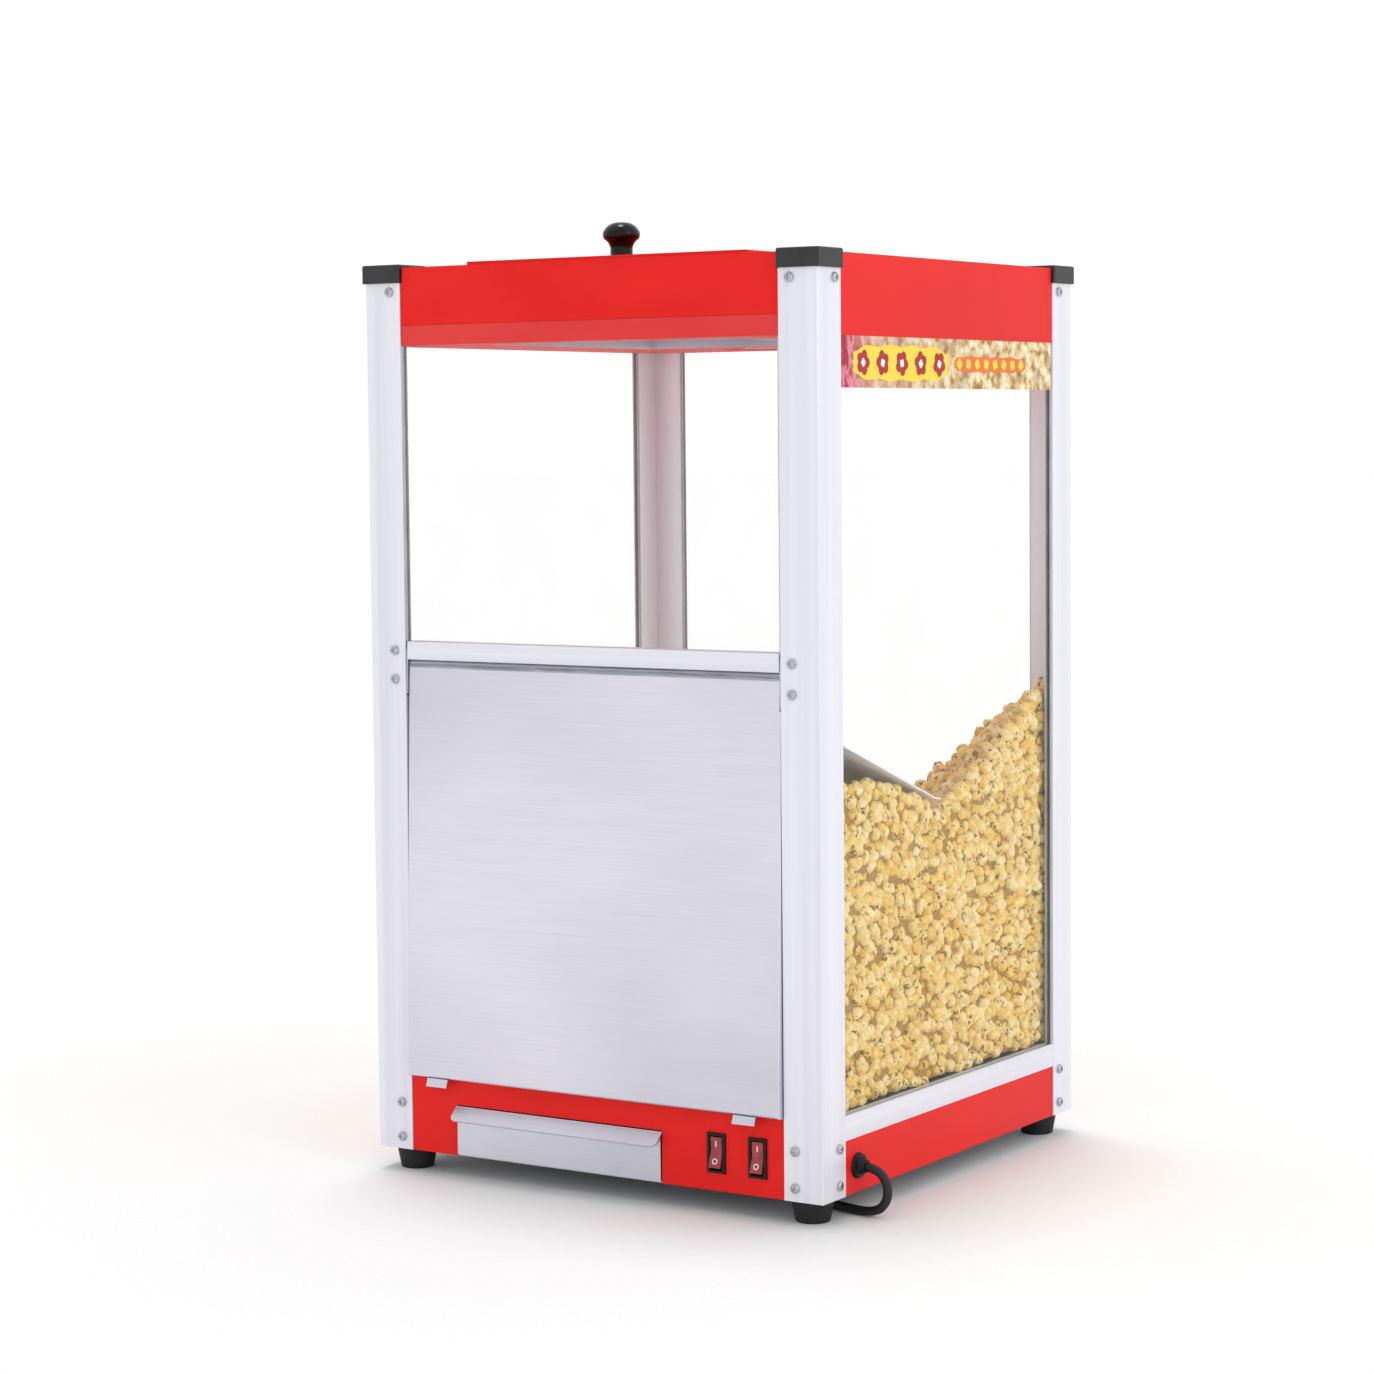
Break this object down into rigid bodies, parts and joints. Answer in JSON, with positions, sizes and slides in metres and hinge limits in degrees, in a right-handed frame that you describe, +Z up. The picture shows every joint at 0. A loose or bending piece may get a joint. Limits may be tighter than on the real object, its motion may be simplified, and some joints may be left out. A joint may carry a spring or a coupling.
{
  "type": "popcorn warming cabinet",
  "caption": "Counter-top popcorn warming cabinet: aluminium corner posts, clear panes, red steel top and base, lifting filling lid, hinged serving flap and crumb drawer.",
  "frame": {"origin": "on the surface it stands on, in the middle of its outline in plan, without the mains lead", "axes": "+Z up, front with the flap and drawer towards -Y, +X to the right of someone facing the front"},
  "size_m": [0.4298, 0.532, 0.723],
  "materials": {
    "aluminium_extrusion": "satin",
    "black_plastic": "satin",
    "red_paint": "gloss",
    "stainless_sheet": "brushed",
    "zinc_steel": "satin",
    "bright_steel": "polished",
    "knob_plastic": "gloss",
    "clear_pane": "clear",
    "black_rubber": "matte",
    "grey_silicone": "matte",
    "printed_sign": "gloss",
    "popcorn": "matte",
    "rocker_red": "gloss",
    "brass_terminals": "polished",
    "lamp_ceramic": "satin",
    "lamp_glass": "clear",
    "frosted_lens": "frosted"
  },
  "bodies": {
    "cabinet": {"base_front_panel": "red_paint", "base_left_panel": "red_paint", "base_pan": "zinc_steel", "base_rear_panel": "red_paint", "base_right_panel": "red_paint", "ceiling_tray": "red_paint", "cord_coil": "black_rubber", "cord_gland": "black_plastic", "cord_plug": "black_plastic", "deflector_plate": "stainless_sheet", "door_hinge_rod": "bright_steel", "drawer_runners": "zinc_steel", "fill_chute": "stainless_sheet", "frame_screws": "bright_steel", "front_fascia": "red_paint", "front_pane": "clear_pane", "heat_switch_housing": "black_plastic", "heater_brackets": "zinc_steel", "heater_element": "bright_steel", "lamp_bulb": "lamp_glass", "lamp_holder": "lamp_ceramic", "lamp_lens": "frosted_lens", "left_fascia": "red_paint", "left_pane": "clear_pane", "left_rail": "aluminium_extrusion", "lid_hinge_fixed_leaves": "zinc_steel", "lid_hinge_pins": "bright_steel", "light_switch_housing": "black_plastic", "mains_cord": "black_rubber", "mid_rail": "aluminium_extrusion", "popcorn": "popcorn", "popcorn_floor": "stainless_sheet", "post_caps": "black_plastic", "post_front_left": "aluminium_extrusion", "post_front_right": "aluminium_extrusion", "post_rear_left": "aluminium_extrusion", "post_rear_right": "aluminium_extrusion", "rail_bracket_left": "zinc_steel", "rail_bracket_right": "zinc_steel", "rear_fascia": "red_paint", "rear_pane": "clear_pane", "rear_rail": "aluminium_extrusion", "right_fascia": "red_paint", "right_pane": "clear_pane", "right_rail": "aluminium_extrusion", "rubber_feet": "black_rubber", "rubber_strips": "grey_silicone", "sign_strip": "printed_sign", "switch_terminals": "brass_terminals", "terminal_block": "black_plastic", "thermostat": "bright_steel", "top_plate": "stainless_sheet"},
    "door": {"door": "stainless_sheet", "door_tabs": "stainless_sheet"},
    "lid": {"lid": "red_paint", "lid_knob": "knob_plastic", "lid_hinge_lid_leaves": "zinc_steel"},
    "drawer": {"crumb_drawer": "stainless_sheet"},
    "light_rocker": {"light_rocker": "rocker_red"},
    "heat_rocker": {"heat_rocker": "rocker_red"}
  },
  "joints": [
    {"name": "door_hinge", "type": "hinge", "parent": "cabinet", "child": "door", "pos_m": [0, -0.18887, 0.3932], "axis": [-1, 0, 0], "range_deg": [0, 85]},
    {"name": "lid_hinge", "type": "hinge", "parent": "cabinet", "child": "lid", "pos_m": [0, 0.08553, 0.6961], "axis": [-1, 0, 0], "range_deg": [0, 100]},
    {"name": "drawer_slide", "type": "slide", "parent": "cabinet", "child": "drawer", "axis": [0, -1, 0], "range_m": [0, 0.25]},
    {"name": "light_switch", "type": "hinge", "parent": "cabinet", "child": "light_rocker", "pos_m": [0.11, -0.19148, 0.0455], "axis": [1, 0, 0], "range_deg": [0, 16]},
    {"name": "heat_switch", "type": "hinge", "parent": "cabinet", "child": "heat_rocker", "pos_m": [0.1452, -0.19148, 0.0455], "axis": [1, 0, 0], "range_deg": [0, 16]}
  ]
}
